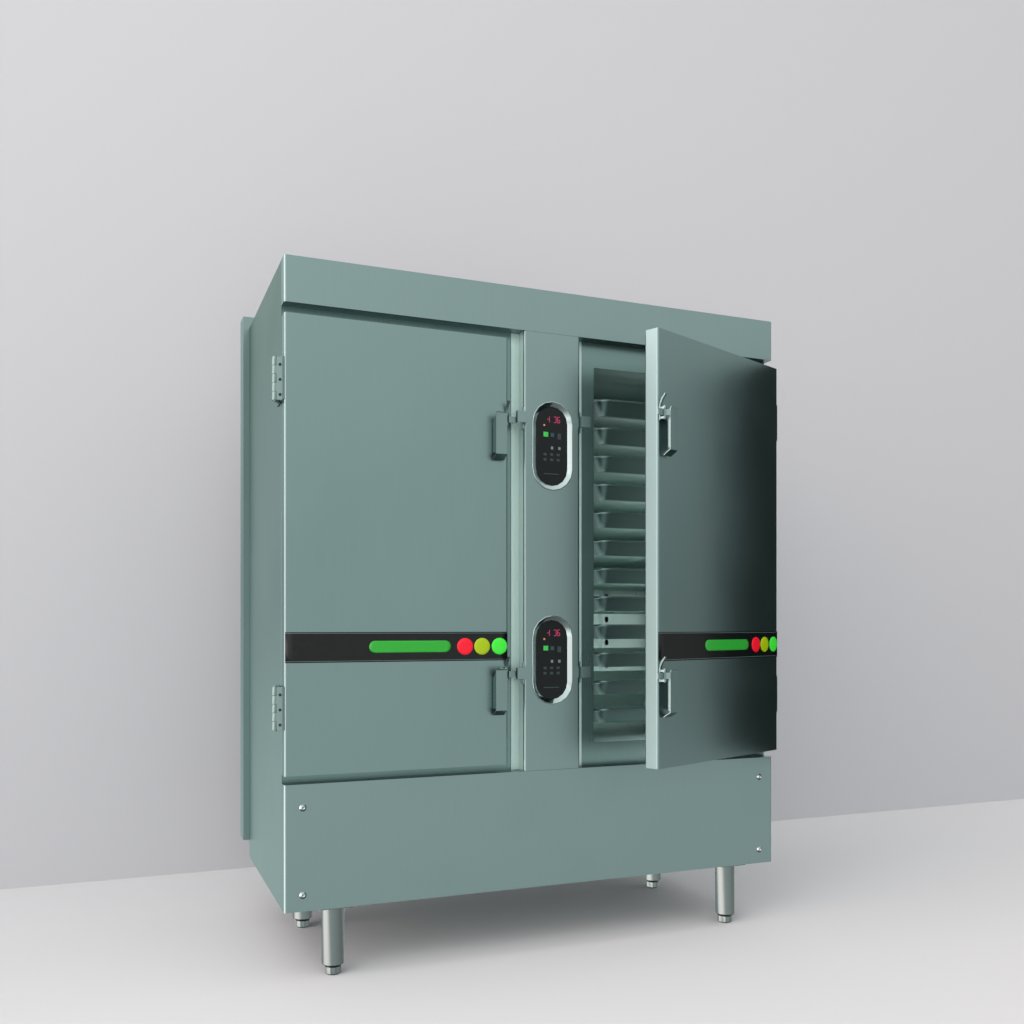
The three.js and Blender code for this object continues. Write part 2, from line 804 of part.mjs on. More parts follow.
// Bezel of a control panel: a capsule ring whose face slopes in to the glass, with a ledge behind it
function controlBezel() {
  const reach = bezelHeight / 2 - bezelWidth / 2;
  const outer = bezelWidth / 2;
  const glassRadius = outer - bezelRing + fitGap;
  const skirt = outer - bezelLip;
  const ledgeFront = bezelSink + glassThickness + 2 * fitGap;
  const section = [
    [outer, -fitGap],
    [skirt, -fitGap],
    [skirt, ledgeFront + ledgeGauge],
    [glassRadius - glassLedge, ledgeFront + ledgeGauge],
    [glassRadius - glassLedge, ledgeFront],
    [glassRadius, ledgeFront],
    [glassRadius, bezelSink],
    [outer - bezelShoulder, -bezelCrown],
    [outer, -bezelEdge],
  ];
  const loops = section.map(([radius, y]) => capsuleLoop(radius, reach).map(([x, z]) => [x, y, z])).reverse();
  return skin(loops, true);
}

// Glass of a control panel, with a ground edge
function controlGlass() {
  const reach = bezelHeight / 2 - bezelWidth / 2;
  const radius = bezelWidth / 2 - bezelRing;
  const back = bezelSink + fitGap + glassThickness;
  const stations = [
    [radius, back],
    [radius, bezelSink + fitGap + glassBevel],
    [radius - glassBevel, bezelSink + fitGap],
  ];
  const loops = stations.map(([edge, y]) => capsuleLoop(edge, reach).map(([x, z]) => [x, y, z]));
  return skin(loops, false);
}

// Door skin: a folded cover in the door's own frame, whose origin is on the hinge axis
function doorSkin() {
  const cover = foldedCover(doorWidth, doorHeight, doorThickness, doorEdgeRadius, sheet, sheet);
  return toGeometry(cover.translate([hingePivotOut + doorWidth / 2, -doorProud - hingePivotBack, doorFoot]));
}

// Loops in the plane of the door, each inset from the door's edge, at a distance behind its face
function doorLoops(stations) {
  const x = hingePivotOut + doorWidth / 2;
  const z = doorFoot + doorHeight / 2;
  return stations.map(([inset, behind, radius]) => (
    roundedLoop(doorWidth / 2 - inset, doorHeight / 2 - inset, radius)
      .map(([across, up]) => [x + across, behind - doorProud - hingePivotBack, z + up])
  ));
}

// Door liner: the inner sheet, pressed to a raised field that faces the chamber
function doorLiner() {
  const edge = sheet + fitGap;
  const face = doorThickness;
  const field = doorFieldInset + doorFieldSlope;
  const stations = [
    [field, face + doorFieldHeight, doorFieldRadius - doorFieldSlope],
    [doorFieldInset, face, doorFieldRadius],
    [edge, face, doorLinerInset],
    [edge, face - linerSheet, doorLinerInset],
    [doorFieldInset + linerSheet, face - linerSheet, doorFieldRadius],
    [field + linerSheet, face + doorFieldHeight - linerSheet, doorFieldRadius - doorFieldSlope],
  ];
  return skin(doorLoops(stations), false);
}

// Door gasket: a rubber ring on the liner's edge, with a rounded bead and a soft inner skirt
function doorGasket() {
  const start = doorLinerInset;
  const base = doorThickness + fitGap;
  const rise = gasketStandout - fitGap;
  const stations = [
    [start, base, gasketCorner],
    [start, base + gasketSkirt, gasketCorner],
    [start + gasketCrownStart, base + rise - fitGap, gasketCorner],
    [start + gasketCrownEnd, base + rise - fitGap, gasketCorner],
    [start + gasketWidth, base + gasketSkirt, gasketCorner],
    [start + gasketWidth, base, gasketCorner],
  ];
  return skin(doorLoops(stations).reverse(), true);
}

// Knuckles of a hinge: the frame leaf holds the odd ones and the door leaf the even ones
function knuckleSpans(first) {
  const pitch = (hingeLength + hingeKnuckleGap) / hingeKnuckles;
  const spans = [];
  for (let knuckle = first; knuckle < hingeKnuckles; knuckle += 2) {
    const foot = -hingeLength / 2 + knuckle * pitch;
    spans.push([foot, foot + pitch - hingeKnuckleGap]);
  }
  return spans;
}

// Outline of the arm that carries a knuckle out from the plate of its leaf
function hingeArm(armStart) {
  const seat = hingePivotOut - fitGap;
  const away = Math.sign(armStart);
  const armEnd = armStart + away * hingeArmWidth;
  return outline([
    [-hingeBarrelRadius * hingeArmStartShare, 0],
    [hingeBarrelRadius * hingeArmBackShare, 0],
    [seat, armStart],
    [seat, armEnd],
    [seat - hingeGauge, armEnd],
    [-hingeBarrelRadius * hingeArmStartShare, away * hingeBarrelRadius * hingeArmFrontShare],
  ]);
}

// One leaf, about the hinge axis: a plate against the side of the cabinet or door, between two
// places along y, with an arm to each of its knuckles and a web that hugs the other leaf's knuckles
function hingeLeaf(first, y0, y1, armStart) {
  const seat = hingePivotOut - fitGap;
  const half = hingeLength / 2;
  const arm = hingeArm(armStart);
  const room = rodUp(0, 0, hingeBarrelRadius + hingeWebGap, -half - cutOverrun, half + cutOverrun, tubeSides);
  let leaf = block(seat - hingeGauge, seat, y0, y1, -half, half).add(raised(arm, -half, half).subtract(room));
  for (const [foot, top] of knuckleSpans(first)) {
    leaf = leaf.add(rodUp(0, 0, hingeBarrelRadius, foot, top, tubeSides));
    leaf = leaf.add(raised(arm, foot, top));
  }
  return leaf;
}

function frameLeaf() {
  const start = frameLeafGap + framePlane - hingePivotBack;
  const head = hingePinRadius + hingePinHead / 2;
  const half = hingeLength / 2;
  const leaf = hingeLeaf(0, start, start + frameLeafWidth, start)
    .add(rodUp(0, 0, hingePinRadius, -half, half, smallTubeSides))
    .add(rodUp(0, 0, head, half, half + hingePinHead, smallTubeSides))
    .add(rodUp(0, 0, head, -half - hingePinHead, -half, smallTubeSides));
  return toGeometry(leaf);
}

function doorLeaf() {
  const front = doorLeafMargin - doorProud - hingePivotBack;
  const back = front + doorLeafWidth;
  const bore = rodUp(0, 0, hingePinRadius + hingePinClearance, -hingeLength, hingeLength, smallTubeSides);
  return toGeometry(hingeLeaf(1, front, back, back - hingeArmWidth).subtract(bore));
}

// Latch base, about the latch's pin: a foot plate on the door, two ears that hold the pin, and a
// curled horn above them. The door's free edge is on the +x side.
function latchBase() {
  const door = latchPinProud - fitGap;
  const footFront = door - latchFootGauge;
  const earFoot = latchBarrelHeight / 2 + latchEarGap;
  const earTop = earFoot + latchEarGauge;
  const footHalf = latchFootHeight / 2;
  const plate = roundedRectangle(latchFootPastPin - latchFootWidth, latchFootPastPin, -footHalf, footHalf,
    latchFootCorner);
  const earRadius = latchBarrelRadius;
  const ear = new THREE.Shape();
  ear.moveTo(-earRadius * 2, footFront + latchFootGauge / 2);
  ear.lineTo(-earRadius, 0);
  ear.absarc(0, 0, earRadius, Math.PI, 0);
  ear.lineTo(earRadius, footFront + latchFootGauge / 2);
  let base = carriedBack(plate, footFront, door)
    .add(raised(ear, earFoot, earTop))
    .add(raised(ear, -earTop, -earFoot))
    .add(rodUp(0, 0, latchPinRadius, -earTop - latchPinCap / 2, earTop, smallTubeSides))
    .add(rodUp(0, 0, latchPinRadius + latchPinHead, earTop, earTop + latchPinCap, smallTubeSides));
  const hornFoot = earTop - latchEarGauge / 2;
  const horn = new THREE.Shape();
  horn.moveTo(door, hornFoot);
  const tip = door - hornCurl;
  horn.quadraticCurveTo(door, hornFoot + hornHeight * hornFrontShare, tip, hornFoot + hornHeight);
  horn.lineTo(tip - hornTipGauge, hornFoot + hornHeight - hornTipGauge);
  horn.quadraticCurveTo(footFront, hornFoot + hornHeight * hornBackShare, footFront, hornFoot);
  base = base.add(carriedAcross(horn, latchFootPastPin - hornWidth, latchFootPastPin));
  return toGeometry(base);
}

// Latch lever, about the pin: a barrel with the tongue on one side, and on the other an arm to a
// grip folded from plate, with a deep wall on the hinge side, a short return on the free side, a
// toe turned back at its foot and a flare at its head
function latchLever() {
  const half = latchBarrelHeight / 2;
  const tongueHalf = tongueHeight / 2;
  const tongue = outline([
    [0, -tongueGauge / 2],
    [tongueReach - tongueNose, -tongueGauge / 2],
    [tongueReach, 0],
    [tongueReach, tongueGauge / 2],
    [0, tongueGauge / 2],
  ]);
  const outside = -gripStandoff - gripGauge / 2;
  const inside = outside + gripGauge;
  const right = -gripFromPin;
  const left = right - gripWidth;
  const arm = outline([
    [right, inside - gripGauge / 2],
    [latchBarrelRadius * armRootShare, 0],
    [-latchBarrelRadius * armRootShare, 0],
    [right - armWidth, inside - gripGauge / 2],
  ]);
  const bend = -gripBottom + gripCorner;
  const wall = outline([
    [outside, bend],
    [outside + gripWallDepth, bend],
    [outside + gripWallDepth, gripWallTop - gripWallSlope],
    [inside, gripWallTop],
    [outside, gripWallTop],
  ]);
  const toe = outline([
    [outside, bend],
    [inside, bend],
    [inside, -gripBottom],
    [inside + gripToeDepth, -gripBottom - gripToeDrop + gripGauge],
    [inside + gripToeDepth, -gripBottom - gripToeDrop],
    [outside, -gripBottom - gripGauge / 2],
  ]);
  const flare = outline([
    [outside, gripTop - gripCorner],
    [inside, gripTop - gripCorner],
    [inside, gripTop],
    [inside - gripFlare, gripTop + gripFlareHeight],
    [outside - gripFlare, gripTop + gripFlareHeight],
    [outside, gripTop],
  ]);
  const reachOfBore = gripBottom + gripToeDrop;
  const bore = rodUp(0, 0, latchPinRadius + latchPinClearance, -reachOfBore, reachOfBore, smallTubeSides);
  const lever = rodUp(0, 0, latchBarrelRadius, -half, half, tubeSides)
    .add(raised(tongue, -tongueHalf, tongueHalf))
    .add(raised(arm, -tongueHalf, tongueHalf))
    .add(block(left, right, outside, inside, -gripBottom, gripTop))
    .add(carriedAcross(wall, left, left + gripGauge))
    .add(block(right - gripGauge, right, outside, outside + gripReturnDepth, bend, gripReturnTop))
    .add(carriedAcross(toe, left, right))
    .add(carriedAcross(flare, left, right))
    .subtract(bore);
  return toGeometry(lever);
}

// Body pieces that never move
addPiece(cabinet, 'base_frame', baseFrame(), satinSteel);
addPiece(cabinet, 'outer_wrap', outerWrap(), satinSteel);

const fascia = foldedCover(bodyWidth, fasciaHeight, coverDepth, cornerRadius, sheet, foldLip);
addPiece(cabinet, 'header_fascia', toGeometry(fascia), satinSteel).position.z = fasciaFoot;
const lowerPanel = foldedCover(bodyWidth, lowerPanelHeight, coverDepth, cornerRadius, sheet, foldLip);
addPiece(cabinet, 'lower_front_panel', toGeometry(lowerPanel), satinSteel).position.z = floorOfBody;
addPiece(cabinet, 'centre_column', centreColumn(), satinSteel);

addPiece(cabinet, 'right_chamber_liner', chamberLiner(), linerSteel);
addPiece(cabinet, 'left_chamber_liner', chamberLiner(), linerSteel).scale.x = -1;

const housing = addPiece(cabinet, 'rear_housing', rearHousing(), satinSteel);
housing.rotation.z = Math.PI;
housing.position.set(0, bodyDepth + rearDepth, floorOfBody + rearLift);

addPiece(cabinet, 'water_tank', waterTank(), linerSteel);
addPiece(cabinet, 'heating_element', heatingElement(), darkAlloy);

// Legs and feet
const legPlaces = [
  ['front_left', -1, frontLegDepth],
  ['front_right', 1, frontLegDepth],
  ['rear_left', -1, rearLegDepth],
  ['rear_right', 1, rearLegDepth],
];
for (const [place, side, y] of legPlaces) {
  const x = side * (halfWidth - legFromSide);
  addPiece(cabinet, `${place}_leg`, leg(), chromeSteel).position.set(x, y, 0);
  addPiece(cabinet, `${place}_foot`, levellingFoot(), chromeSteel).position.set(x, y, 0);
}

// Rack sides in both chambers, and pans in the right one
for (const [side, name] of [[-1, 'left'], [1, 'right']]) {
  for (const [turn, place] of [[side, 'outer'], [-side, 'inner']]) {
    const rack = addPiece(cabinet, `${name}_rack_${place}_side`, rackSide(), linerSteel);
    rack.position.x = side * chamberCentre;
    rack.scale.x = turn;
  }
}
for (let level = 0; level < panCount; level++) {
  const name = `pan_${String(level + 1).padStart(2, '0')}`;
  const foot = rimHeight(level) - panHeight;
  addPiece(cabinet, name, pan(), panSteel).position.set(chamberCentre, framePlane + panFrontRoom, foot);
}

// Control panels in the column
const controlNames = ['lower', 'upper'];
controlHeights.forEach((z, index) => {
  addPiece(cabinet, `${controlNames[index]}_control_bezel`, controlBezel(), chromeSteel).position.z = z;
  addPiece(cabinet, `${controlNames[index]}_control_glass`, controlGlass(), blackGlass).position.z = z;
});

// Doors: each in a group on its hinge axis, mirrored for the right side, with its latches and leaves
const levelNames = ['lower', 'upper'];
for (const [side, name, openAngle] of [[-1, 'left', 0], [1, 'right', rightDoorAngle]]) {
  const axisPlace = side * (halfWidth + hingePivotOut);
  const frameSide = new THREE.Group();
  frameSide.position.set(axisPlace, hingePivotBack, 0);
  frameSide.scale.x = -side;
  cabinet.add(frameSide);

  const door = new THREE.Group();
  door.position.set(axisPlace, hingePivotBack, 0);
  door.rotation.z = side * openAngle;
  door.scale.x = -side;
  cabinet.add(door);

  addPiece(door, `${name}_door_skin`, doorSkin(), satinSteel);
  addPiece(door, `${name}_door_liner`, doorLiner(), linerSteel);
  addPiece(door, `${name}_door_gasket`, doorGasket(), greyRubber);

  hingeHeights.forEach((z, index) => {
    const level = levelNames[index];
    addPiece(frameSide, `${name}_${level}_hinge_frame_leaf`, frameLeaf(), castSteel).position.z = z;
    addPiece(door, `${name}_${level}_hinge_door_leaf`, doorLeaf(), castSteel).position.z = z;
  });

  latchHeights.forEach((height, index) => {
    const level = levelNames[index];
    const latch = new THREE.Group();
    latch.position.set(hingePivotOut + doorWidth - latchPinFromEdge,
      -doorProud - latchPinProud - hingePivotBack, height);
    door.add(latch);
    addPiece(latch, `${name}_${level}_latch_base`, latchBase(), castSteel);
    addPiece(latch, `${name}_${level}_latch_lever`, latchLever(), chromeSteel);
  });
}

// The part's origin is under the middle of its outer box, on the floor
cabinet.updateMatrixWorld(true);
const reach = new THREE.Box3().setFromObject(cabinet, true);
const middle = reach.getCenter(new THREE.Vector3());
cabinet.position.set(-middle.x, -middle.y, 0);

export default cabinet;
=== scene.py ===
import json
import math

import bmesh
import bpy
from mathutils import Matrix, Vector


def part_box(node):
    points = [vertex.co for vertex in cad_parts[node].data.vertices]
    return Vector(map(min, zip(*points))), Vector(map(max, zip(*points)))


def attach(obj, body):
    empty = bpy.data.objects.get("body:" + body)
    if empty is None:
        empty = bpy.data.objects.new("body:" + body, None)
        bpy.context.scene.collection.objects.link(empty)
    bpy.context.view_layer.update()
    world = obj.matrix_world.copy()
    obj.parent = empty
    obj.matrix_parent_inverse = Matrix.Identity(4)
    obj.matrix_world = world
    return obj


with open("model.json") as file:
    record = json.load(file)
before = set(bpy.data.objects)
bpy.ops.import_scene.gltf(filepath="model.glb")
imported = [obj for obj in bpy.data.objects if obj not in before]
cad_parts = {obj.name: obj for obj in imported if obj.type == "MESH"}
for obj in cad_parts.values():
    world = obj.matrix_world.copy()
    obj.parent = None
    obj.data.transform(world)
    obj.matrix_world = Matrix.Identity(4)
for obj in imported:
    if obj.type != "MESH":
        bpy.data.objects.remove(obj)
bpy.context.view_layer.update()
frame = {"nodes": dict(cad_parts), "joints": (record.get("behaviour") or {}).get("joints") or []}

# Studio: the cabinet stands on a pale floor before a pale wall, under a broad lamp from the left, a
# weaker one from the front and a soft sky. Two small lamps light the chamber behind the open door,
# and a dark card beside that door shades its satin face.
scene = bpy.context.scene
scene.view_settings.view_transform = "Standard"


def link(obj):
    scene.collection.objects.link(obj)
    return obj


def new_mesh(name, bm):
    bmesh.ops.recalc_face_normals(bm, faces=bm.faces)
    mesh = bpy.data.meshes.new(name)
    bm.to_mesh(mesh)
    bm.free()
    mesh.polygons.foreach_set("use_smooth", [True] * len(mesh.polygons))
    return link(bpy.data.objects.new(name, mesh))


def linear(color):
    """An (r, g, b) as seen on a screen, 0 to 255, as the shader's own light values."""
    def one(c):
        c /= 255
        return c / 12.92 if c <= 0.04045 else ((c + 0.055) / 1.055) ** 2.4
    return (*map(one, color), 1.0)


def new_material(name, color, roughness, metallic=0.0):
    material = bpy.data.materials.new(name)
    material.use_nodes = True
    shader = material.node_tree.nodes["Principled BSDF"]
    shader.inputs["Base Color"].default_value = linear(color)
    shader.inputs["Roughness"].default_value = roughness
    shader.inputs["Metallic"].default_value = metallic
    return material, material.node_tree, shader


def studio_card(name, color, cuts, half, place=Matrix.Identity(4)):
    """A flat painted card, square about its middle, which the matrix then sizes and places."""
    bm = bmesh.new()
    bmesh.ops.create_grid(bm, x_segments=cuts, y_segments=cuts, size=half, matrix=place)
    card = new_mesh(name, bm)
    paint = new_material(name + "_paint", color, roughness=0.9)[0]
    card.data.materials.append(paint)
    return card


room_half = 9
wall_back = 0.9
flag_place = (0.67, -0.29, 0.94)
flag_half_height, flag_half_depth = 0.52, 0.11
upright = Matrix.Rotation(math.pi / 2, 4, "X")
sideways = Matrix.Rotation(math.pi / 2, 4, "Y")
floor = studio_card("studio_floor", (196, 197, 198), 2, room_half)
wall = studio_card("studio_wall", (176, 178, 181), 2, room_half,
                   Matrix.Translation((0, wall_back, 0)) @ upright)
flag = studio_card("studio_dark_flag", (20, 34, 34), 1, 1,
                   Matrix.Translation(flag_place) @ sideways
                   @ Matrix.Diagonal((flag_half_height, flag_half_depth, 1, 1)))
floor.visible_glossy = wall.visible_glossy = False
flag.visible_camera = flag.visible_diffuse = flag.visible_shadow = False

# The camera has the place and the lens that were fitted to the cabinet's corners in the photograph.
camera = link(bpy.data.objects.new("camera", bpy.data.cameras.new("camera")))
camera.location = (-0.9673, -2.3311, 0.7631)
camera.rotation_euler = (math.pi / 2, 0, math.radians(-22.06))
camera.data.lens = 34.89
camera.data.sensor_width = 36
camera.data.shift_y = 0.1124
scene.camera = camera


def soft_lamp(name, place, aim, size, power):
    lamp = link(bpy.data.objects.new(name, bpy.data.lights.new(name, "AREA")))
    lamp.location = place
    lamp.rotation_euler = (Vector(aim) - Vector(place)).to_track_quat("-Z", "Y").to_euler()
    lamp.data.shape = "RECTANGLE"
    lamp.data.size, lamp.data.size_y = size
    lamp.data.energy = power
    lamp.visible_camera = lamp.visible_glossy = False


soft_lamp("lamp_high_left", place=(-2.6, -2.8, 3.2), aim=(0, 0, 0.8), size=(2.4, 2.4), power=60)
soft_lamp("lamp_front_fill", place=(-0.7, -2.2, 0.9), aim=(0.25, 0, 0.9), size=(0.8, 0.8), power=9)
soft_lamp("lamp_behind_open_door", place=(0.42, -0.25, 0.85), aim=(0.36, 0.3, 0.85),
          size=(0.26, 0.8), power=6)
soft_lamp("lamp_behind_low_pans", place=(0.3615, 0.368, 0.65), aim=(0.3615, 0.6, 0.65),
          size=(0.44, 0.4), power=0.25)

world = bpy.data.worlds.new("studio_sky")
scene.world = world
world.use_nodes = True
sky = world.node_tree
sky_top = 5


def sky_ramp(direction, stops):
    """Light along one direction of the sky. A stop is a place from -1 to 1, and then one grey level,
    or a red level and one for green and blue, of sky_top at most."""
    share = sky.nodes.new("ShaderNodeMapRange")
    share.inputs["From Min"].default_value = -1
    sky.links.new(direction, share.inputs["Value"])
    ramp = sky.nodes.new("ShaderNodeValToRGB")
    elements = ramp.color_ramp.elements
    while len(elements) < len(stops):
        elements.new(0.5)
    for element, (position, *levels) in zip(elements, stops):
        element.position = (position + 1) / 2
        element.color = (levels[0] / sky_top, levels[-1] / sky_top, levels[-1] / sky_top, 1)
    sky.links.new(share.outputs[0], ramp.inputs["Fac"])
    return ramp.outputs["Color"]


def times(first, second):
    both = sky.nodes.new("ShaderNodeMix")
    both.data_type = "RGBA"
    both.blend_type = "MULTIPLY"
    both.inputs["Factor"].default_value = 1
    sky.links.new(first, both.inputs["A"])
    sky.links.new(second, both.inputs["B"])
    return both.outputs["Result"]


coordinates = sky.nodes.new("ShaderNodeTexCoord")
split = sky.nodes.new("ShaderNodeSeparateXYZ")
sky.links.new(coordinates.outputs["Generated"], split.inputs[0])
across_sky = sky_ramp(split.outputs["X"], [
    (-1.0, 4.9, 3.9), (-0.93, 4.5, 3.7), (-0.6, 1.35), (0.2, 1.06), (0.6, 0.95),
    (0.88, 0.74), (0.97, 0.62), (0.985, 0.45), (0.996, 0.08), (1.0, 0.08)])
up_sky = sky_ramp(split.outputs["Z"], [
    (-0.85, 0.2), (-0.55, 0.35), (-0.36, 0.95), (-0.22, 1.2), (-0.16, 1.14), (0.03, 0.72),
    (0.16, 0.98), (0.32, 1.22), (0.8, 1.2)])
back_sky = sky_ramp(split.outputs["Y"], [
    (-1.0, 1.0), (0.5, 1.0), (0.8, 0.6, 0.66), (0.95, 0.40, 0.50), (1.0, 0.40, 0.50)])
background = sky.nodes["Background"]
sky.links.new(times(times(across_sky, up_sky), back_sky), background.inputs["Color"])
background.inputs["Strength"].default_value = sky_top ** 3

# Outer sheets of the body: the base, the outer wrap, the header fascia, the lower front panel, the
# centre column and the rear housing, folded from satin stainless sheet and screwed or spot-welded
# together. The wrap is one sheet bent over both sides and the top.


def effect(name, inputs, outputs):
    """A node group with its input and output nodes, ready to be filled."""
    group = bpy.data.node_groups.new(name, "ShaderNodeTree")
    for label, kind, value in inputs:
        socket = group.interface.new_socket(label, in_out="INPUT", socket_type=kind)
        socket.default_value = value
    for label, kind in outputs:
        group.interface.new_socket(label, in_out="OUTPUT", socket_type=kind)
    return group, group.nodes.new("NodeGroupInput"), group.nodes.new("NodeGroupOutput")


def math_node(tree, operation, first, second):
    node = tree.nodes.new("ShaderNodeMath")
    node.operation = operation
    for socket, value in zip(node.inputs, (first, second)):
        if isinstance(value, (int, float)):
            socket.default_value = value
        else:
            tree.links.new(value, socket)
    return node.outputs[0]


def noise(tree, vector, scale, detail):
    node = tree.nodes.new("ShaderNodeTexNoise")
    tree.links.new(vector, node.inputs["Vector"])
    node.inputs["Scale"].default_value = scale
    node.inputs["Detail"].default_value = detail
    return node.outputs["Fac"]


# The satin grain is long hairlines along one direction, with a slow change of tone across them.
noise_middle = 0.5
cloud_share = 0.5
hairline_tone = 0.35
hairline_roughness = 0.25
satin_group, satin_in, satin_out = effect(
    "satin_hairlines",
    [("Hairline", "NodeSocketVector", (400, 400, 6)), ("Depth", "NodeSocketFloat", 1.0)],
    [("Tone", "NodeSocketFloat"), ("Roughness", "NodeSocketFloat"), ("Height", "NodeSocketFloat")])
place = satin_group.nodes.new("ShaderNodeTexCoord")
stretch = satin_group.nodes.new("ShaderNodeVectorMath")
stretch.operation = "MULTIPLY"
satin_group.links.new(place.outputs["Object"], stretch.inputs[0])
satin_group.links.new(satin_in.outputs["Hairline"], stretch.inputs[1])
hairlines = noise(satin_group, stretch.outputs[0], scale=1.0, detail=3)
clouds = noise(satin_group, place.outputs["Object"], scale=2.2, detail=2)
centred = math_node(satin_group, "SUBTRACT", hairlines, noise_middle)
deep = math_node(satin_group, "MULTIPLY", centred, satin_in.outputs["Depth"])
slow = math_node(satin_group, "SUBTRACT", clouds, noise_middle)
slow = math_node(satin_group, "MULTIPLY", slow, cloud_share)
tone = math_node(satin_group, "MULTIPLY", deep, hairline_tone)
tone = math_node(satin_group, "ADD", tone, slow)
tone = math_node(satin_group, "ADD", tone, noise_middle)
duller = math_node(satin_group, "MULTIPLY", deep, hairline_roughness)
duller = math_node(satin_group, "ADD", duller, slow)
satin_group.links.new(tone, satin_out.inputs["Tone"])
satin_group.links.new(duller, satin_out.inputs["Roughness"])
satin_group.links.new(deep, satin_out.inputs["Height"])

# Handling leaves soft, greasy patches that are a little duller than the sheet round them.
patch_level = 0.52
patch_sharpness = 5.0
handling_group, handling_in, handling_out = effect(
    "handling_marks",
    [("Size", "NodeSocketFloat", 7.0), ("Amount", "NodeSocketFloat", 0.5)],
    [("Mask", "NodeSocketFloat")])
place = handling_group.nodes.new("ShaderNodeTexCoord")
smears = handling_group.nodes.new("ShaderNodeTexNoise")
smears.inputs["Detail"].default_value = 5
handling_group.links.new(place.outputs["Object"], smears.inputs["Vector"])
handling_group.links.new(handling_in.outputs["Size"], smears.inputs["Scale"])
raised = math_node(handling_group, "SUBTRACT", smears.outputs["Fac"], patch_level)
patches = math_node(handling_group, "MULTIPLY", raised, patch_sharpness)
patches.node.use_clamp = True
patches = math_node(handling_group, "MULTIPLY", patches, handling_in.outputs["Amount"])
handling_group.links.new(patches, handling_out.inputs["Mask"])


def place_group(tree, group, **values):
    node = tree.nodes.new("ShaderNodeGroup")
    node.node_tree = group
    for label, value in values.items():
        node.inputs[label].default_value = value
    return node


def mixed_color(tree, factor, first, second):
    node = tree.nodes.new("ShaderNodeMix")
    node.data_type = "RGBA"
    tree.links.new(factor, node.inputs["Factor"])
    node.inputs["A"].default_value = linear(first)
    node.inputs["B"].default_value = linear(second)
    return node.outputs["Result"]


marks_size = 6.0
roughness_from_grain = 0.35
roughness_from_marks = 0.06
grain_height = 0.00004


def steel(name, dark, light, roughness, hairline=(500, 500, 7), depth=1.0, marks=0.5, metallic=1.0):
    """Stainless steel between two tones. Its grain runs along the axis with the least hairline."""
    material, tree, shader = new_material(name, light, roughness, metallic)
    grain = place_group(tree, satin_group, Hairline=hairline, Depth=depth)
    marked = place_group(tree, handling_group, Size=marks_size, Amount=marks)
    tones = mixed_color(tree, grain.outputs["Tone"], dark, light)
    tree.links.new(tones, shader.inputs["Base Color"])
    ground = math_node(tree, "MULTIPLY", grain.outputs["Roughness"], roughness_from_grain)
    ground = math_node(tree, "ADD", ground, roughness)
    greasy = math_node(tree, "MULTIPLY", marked.outputs["Mask"], roughness_from_marks)
    tree.links.new(math_node(tree, "ADD", ground, greasy), shader.inputs["Roughness"])
    lift = tree.nodes.new("ShaderNodeBump")
    lift.inputs["Distance"].default_value = grain_height
    tree.links.new(grain.outputs["Height"], lift.inputs["Height"])
    tree.links.new(lift.outputs["Normal"], shader.inputs["Normal"])
    return material


# A mask along one direction of the cabinet, for the part of a sheet that lies deeper or higher.
mask_group, mask_in, mask_out = effect(
    "place_mask",
    [("Along", "NodeSocketVector", (0, 1, 0)), ("Clear From", "NodeSocketFloat", 0.0),
     ("Full From", "NodeSocketFloat", 1.0)],
    [("Mask", "NodeSocketFloat")])
place = mask_group.nodes.new("ShaderNodeTexCoord")
reach = mask_group.nodes.new("ShaderNodeVectorMath")
reach.operation = "DOT_PRODUCT"
mask_group.links.new(place.outputs["Object"], reach.inputs[0])
mask_group.links.new(mask_in.outputs["Along"], reach.inputs[1])
fade = mask_group.nodes.new("ShaderNodeMapRange")
mask_group.links.new(reach.outputs["Value"], fade.inputs["Value"])
mask_group.links.new(mask_in.outputs["Clear From"], fade.inputs["From Min"])
mask_group.links.new(mask_in.outputs["Full From"], fade.inputs["From Max"])
mask_group.links.new(fade.outputs[0], mask_out.inputs["Mask"])


def vary(material, along, clear, full, dark, light, metallic):
    """Gives the part of a steel beyond a place other tones and another share of metal."""
    tree = material.node_tree
    shader = tree.nodes["Principled BSDF"]
    grain = next(n for n in tree.nodes if n.type == "GROUP" and n.node_tree == satin_group)
    mask = place_group(tree, mask_group, Along=along, **{"Clear From": clear, "Full From": full})
    tones = tree.nodes.new("ShaderNodeMix")
    tones.data_type = "RGBA"
    tree.links.new(mask.outputs["Mask"], tones.inputs["Factor"])
    tree.links.new(shader.inputs["Base Color"].links[0].from_socket, tones.inputs["A"])
    tree.links.new(mixed_color(tree, grain.outputs["Tone"], dark, light), tones.inputs["B"])
    tree.links.new(tones.outputs["Result"], shader.inputs["Base Color"])
    share = tree.nodes.new("ShaderNodeMix")
    tree.links.new(mask.outputs["Mask"], share.inputs["Factor"])
    if shader.inputs["Metallic"].links:
        tree.links.new(shader.inputs["Metallic"].links[0].from_socket, share.inputs["A"])
    else:
        share.inputs["A"].default_value = shader.inputs["Metallic"].default_value
    share.inputs["B"].default_value = metallic
    tree.links.new(share.outputs["Result"], shader.inputs["Metallic"])


